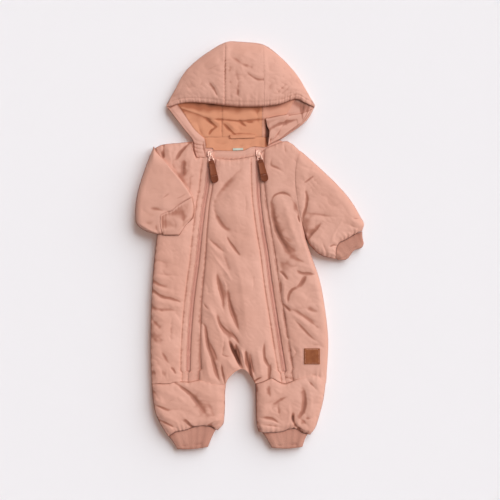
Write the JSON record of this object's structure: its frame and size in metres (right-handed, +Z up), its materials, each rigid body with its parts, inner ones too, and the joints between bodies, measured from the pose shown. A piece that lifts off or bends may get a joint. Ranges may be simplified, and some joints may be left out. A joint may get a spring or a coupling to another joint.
{
  "type": "baby snowsuit",
  "caption": "Padded hooded baby snowsuit lying flat: zipped front, a sleeve folded in with its mitten flap, ribbed cuffs, open lined hood, leather tabs on the zips.",
  "frame": {"origin": "centre of the suit's outline on the surface it lies on", "axes": "+Z up from the surface, +Y from the legs to the hood, +X to the side of the outstretched sleeve"},
  "size_m": [0.3891, 0.6944, 0.0318],
  "materials": {
    "shell": "smooth peach-pink taffeta over padding, slight sheen",
    "lining": "soft matt orange-peach lining",
    "rib": "matt rib knit",
    "zip_tape": "woven zip tape with a nylon coil",
    "metal": "pink-enamelled metal, satin",
    "leather": "smooth dark brown leather",
    "patch_leather": "tan brown leather",
    "label": "plain pale woven tape"
  },
  "bodies": {
    "suit": {"ankle_cuff_left": "rib", "ankle_cuff_right": "rib", "back": "shell", "cuff_right": "rib", "facing_left": "shell", "facing_right": "shell", "front_centre": "shell", "front_left": "shell", "front_right": "shell", "hanger_loop": "shell", "hood_back": "shell", "hood_centre": "shell", "hood_left": "shell", "hood_right": "shell", "leg_left": "shell", "leg_right": "shell", "lining_centre": "lining", "lining_left": "lining", "lining_right": "lining", "mitten_left": "shell", "neck_back": "lining", "neck_binding": "shell", "neck_label": "label", "patch": "patch_leather", "sleeve_left": "shell", "sleeve_right": "shell", "slider_left": "metal", "slider_right": "metal", "zip_left": "zip_tape", "zip_right": "zip_tape"},
    "pull_left": {"pull_left": "metal", "tab_left": "leather"},
    "pull_right": {"pull_right": "metal", "tab_right": "leather"}
  },
  "joints": [
    {"name": "pull_left_flip", "type": "hinge", "parent": "suit", "child": "pull_left", "pos_m": [-0.071, 0.1515, 0.0152], "axis": [-0.974, -0.2266, 0], "range_deg": [0, 150]},
    {"name": "pull_right_flip", "type": "hinge", "parent": "suit", "child": "pull_right", "pos_m": [0.0142, 0.1535, 0.0152], "axis": [-0.972, -0.2351, 0], "range_deg": [0, 150]}
  ]
}
